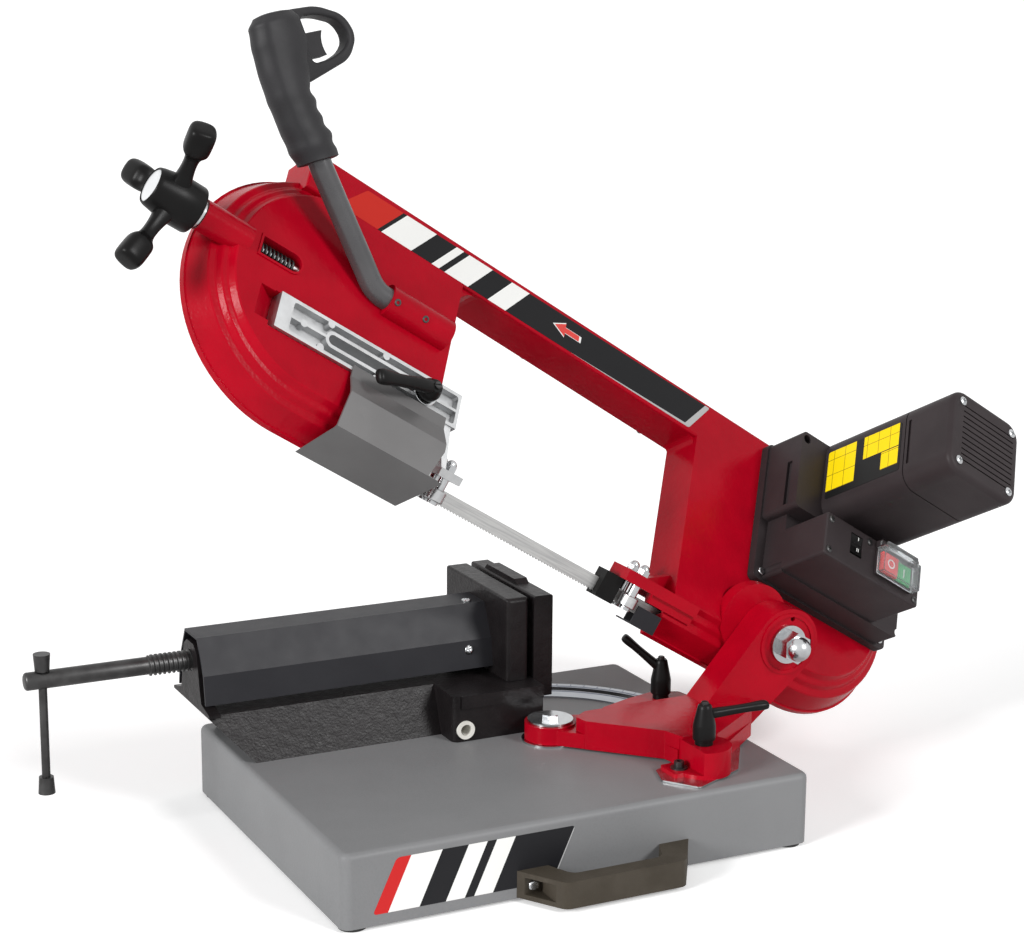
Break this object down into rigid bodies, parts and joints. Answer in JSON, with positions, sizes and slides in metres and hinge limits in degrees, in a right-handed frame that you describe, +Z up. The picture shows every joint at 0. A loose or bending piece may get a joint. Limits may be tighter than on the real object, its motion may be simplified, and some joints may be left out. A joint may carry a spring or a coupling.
{
  "type": "metal cutting band saw",
  "caption": "Bench metal-cutting band saw: tilted red bow with blade, motor and pull handle, hinged on a swivel arm over a grey tray base with a screw vice.",
  "frame": {"origin": "on the floor, under the middle of the bounding box", "axes": "+X towards the motor end, +Y away from the operator, +Z up"},
  "size_m": [0.8434, 0.373, 0.6766],
  "materials": {
    "tray_paint": "grey hammer-finish paint",
    "red_paint": "gloss red paint on cast metal",
    "black_iron": "black painted cast iron",
    "black_plastic": "black moulded plastic",
    "brown_plastic": "brown-black moulded plastic",
    "dark_steel": "satin blue-black folded steel",
    "black_steel": "blackened steel",
    "zinc": "zinc plated steel",
    "steel": "ground steel",
    "blade_steel": "saw blade steel",
    "aluminium": "cast and machined aluminium",
    "guard_grey": "grey painted sheet",
    "rubber": "black rubber",
    "nylon": "white nylon",
    "tube_grey": "dark grey coated tube",
    "red_button": "red button",
    "green_button": "green button",
    "clear": "clear plastic",
    "copper": "copper windings on a steel core"
  },
  "bodies": {
    "base": {"base_tray": "tray_paint", "base_feet": "rubber", "carry_handle": "brown_plastic", "carry_handle_screws": "zinc", "mitre_ring": "zinc", "vice_bed": "black_iron", "vice_bolts": "zinc", "nut_bracket": "black_iron", "bar_stop_bush": "nylon", "fixed_jaw": "black_iron", "pivot_bolt": "zinc", "pivot_washers": "zinc"},
    "jaw": {"moving_jaw": "black_iron", "vice_channel": "dark_steel"},
    "screw": {"vice_screw": "black_steel"},
    "tee": {"tee_bar": "black_steel"},
    "swivel": {"swivel_arm": "red_paint", "pointer_plate": "zinc", "pointer_screw": "black_steel", "return_spring": "steel", "lock_nut": "steel"},
    "rear_lock": {"rear_lock_lever": "black_plastic"},
    "front_lock": {"front_lock_lever": "black_plastic"},
    "bow": {"bow_casting": "red_paint", "back_cover": "red_paint", "housing_screws": "zinc", "saw_blade": "blade_steel", "handle_tube": "tube_grey", "handle_grip": "black_plastic", "hinge_axle": "steel", "axle_nut": "zinc", "tension_spring": "black_steel", "motor_stator": "copper", "gear_housing": "black_plastic", "motor_housing": "black_plastic", "switch_box": "black_plastic", "rear_guide_block": "black_plastic", "rear_guide_bolts": "zinc", "lower_shield": "dark_steel"},
    "finger_trigger": {"trigger": "black_plastic"},
    "knob": {"tension_knob": "black_plastic", "tension_screw": "zinc"},
    "carriage": {"idler_carriage": "steel"},
    "idler": {"idler_wheel": "aluminium"},
    "drive": {"drive_wheel": "aluminium", "drive_shaft": "steel"},
    "middle": {"middle_gear": "steel"},
    "rotor": {"motor_rotor": "copper"},
    "stop": {"stop_button": "red_button"},
    "start": {"start_button": "green_button"},
    "flap": {"switch_flap": "clear"},
    "rocker": {"speed_rocker": "black_plastic"},
    "guide": {"guide_bar": "aluminium", "guide_bolts": "zinc", "blade_guard": "guard_grey"},
    "guide_clamp": {"guide_lever": "black_plastic"},
    "front_near": {"front_roller_near": "steel"},
    "front_far": {"front_roller_far": "steel"},
    "rear_near": {"rear_roller_near": "steel"},
    "rear_far": {"rear_roller_far": "steel"}
  },
  "joints": [
    {"name": "mitre_swivel", "type": "hinge", "parent": "base", "child": "swivel", "pos_m": [0.00266, 0.0165, 0.07], "axis": [0, 0, 1], "range_deg": [0, 45]},
    {"name": "bow_swing", "type": "hinge", "parent": "swivel", "child": "bow", "pos_m": [0.20916, 0.0165, 0.1349], "axis": [0, 1, 0], "range_deg": [-31.7, 0], "stiffness_Nm_per_rad": 30, "springref_deg": 68.75},
    {"name": "jaw_slide", "type": "slide", "parent": "base", "child": "jaw", "axis": [-1, 0, 0], "range_m": [-0.004, 0.112]},
    {"name": "screw_turn", "type": "hinge", "parent": "jaw", "child": "screw", "pos_m": [-0.04874, 0.1215, 0.142], "axis": [1, 0, 0], "range_deg": [-360, 10080]},
    {"name": "tee_slide", "type": "slide", "parent": "screw", "child": "tee", "axis": [0, 0, 1], "range_m": [0, 0.075]},
    {"name": "rear_lock_turn", "type": "hinge", "parent": "swivel", "child": "rear_lock", "pos_m": [0.13046, 0.04955, 0.08], "axis": [0, 0, 1], "range_deg": [-70, 0]},
    {"name": "front_lock_turn", "type": "hinge", "parent": "swivel", "child": "front_lock", "pos_m": [0.07926, -0.1095, 0.095], "axis": [0, 0, 1], "range_deg": [-60, 60]},
    {"name": "drive_spin", "type": "hinge", "parent": "bow", "child": "drive", "pos_m": [0.28178, 0.07056, 0.14762], "axis": [0.2862, -0.8387, 0.4634], "continuous": true},
    {"name": "middle_spin", "type": "hinge", "parent": "bow", "child": "middle", "pos_m": [0.30571, 0.05501, 0.19102], "axis": [0.2862, -0.8387, 0.4634], "continuous": true},
    {"name": "motor_spin", "type": "hinge", "parent": "bow", "child": "rotor", "pos_m": [0.33693, 0.02495, 0.24682], "axis": [0.2862, -0.8387, 0.4634], "continuous": true},
    {"name": "carriage_slide", "type": "slide", "parent": "bow", "child": "carriage", "axis": [0.8508, 0, -0.5255], "range_m": [0, 0.005]},
    {"name": "knob_turn", "type": "hinge", "parent": "bow", "child": "knob", "pos_m": [-0.2982, 0.06031, 0.5287], "axis": [0.8508, 0, -0.5255], "range_deg": [0, 1200]},
    {"name": "idler_spin", "type": "hinge", "parent": "carriage", "child": "idler", "pos_m": [-0.19102, 0.07056, 0.43962], "axis": [0.2862, -0.8387, 0.4634], "continuous": true},
    {"name": "guide_slide", "type": "slide", "parent": "bow", "child": "guide", "axis": [0.8508, 0, -0.5255], "range_m": [0, 0.09]},
    {"name": "guide_clamp_turn", "type": "hinge", "parent": "bow", "child": "guide_clamp", "pos_m": [-0.10893, 0.02091, 0.37461], "axis": [0.2862, -0.8387, 0.4634], "range_deg": [-30, 30]},
    {"name": "front_near_spin", "type": "hinge", "parent": "guide", "child": "front_near", "pos_m": [-0.10884, 0.00775, 0.29103], "axis": [0.5255, 0, 0.8508], "continuous": true},
    {"name": "front_far_spin", "type": "hinge", "parent": "guide", "child": "front_far", "pos_m": [-0.10884, 0.02525, 0.29103], "axis": [0.5255, 0, 0.8508], "continuous": true},
    {"name": "rear_near_spin", "type": "hinge", "parent": "bow", "child": "rear_near", "pos_m": [0.07154, 0.00775, 0.17963], "axis": [0.5255, 0, 0.8508], "continuous": true},
    {"name": "rear_far_spin", "type": "hinge", "parent": "bow", "child": "rear_far", "pos_m": [0.07154, 0.02525, 0.17963], "axis": [0.5255, 0, 0.8508], "continuous": true},
    {"name": "trigger_pull", "type": "slide", "parent": "bow", "child": "finger_trigger", "axis": [-0.9264, -0.3551, -0.1252], "range_m": [0, 0.005], "stiffness_N_per_m": 600, "springref_m": -0.003},
    {"name": "stop_press", "type": "slide", "parent": "bow", "child": "stop", "axis": [-0.2862, 0.8387, -0.4634], "range_m": [0, 0.003], "stiffness_N_per_m": 500, "springref_m": -0.002},
    {"name": "start_press", "type": "slide", "parent": "bow", "child": "start", "axis": [-0.2862, 0.8387, -0.4634], "range_m": [0, 0.003], "stiffness_N_per_m": 500, "springref_m": -0.002},
    {"name": "flap_turn", "type": "hinge", "parent": "bow", "child": "flap", "pos_m": [0.33007, -0.02266, 0.2005], "axis": [-0.8508, 0, 0.5255], "range_deg": [0, 105]},
    {"name": "rocker_turn", "type": "hinge", "parent": "bow", "child": "rocker", "pos_m": [0.28229, -0.02276, 0.21257], "axis": [0.8508, 0, -0.5255], "range_deg": [-8, 8]}
  ],
  "couplings": [
    {"joint": "screw_turn", "follows": "jaw_slide", "rad_per_m": 1570.8},
    {"joint": "knob_turn", "follows": "carriage_slide", "rad_per_m": 4188.8},
    {"joint": "idler_spin", "follows": "drive_spin", "ratio": 1},
    {"joint": "middle_spin", "follows": "drive_spin", "ratio": -2.7143},
    {"joint": "motor_spin", "follows": "drive_spin", "ratio": 17.372},
    {"joint": "front_near_spin", "follows": "drive_spin", "ratio": -12.312},
    {"joint": "front_far_spin", "follows": "drive_spin", "ratio": 12.312},
    {"joint": "rear_near_spin", "follows": "drive_spin", "ratio": -12.312},
    {"joint": "rear_far_spin", "follows": "drive_spin", "ratio": 12.312}
  ]
}
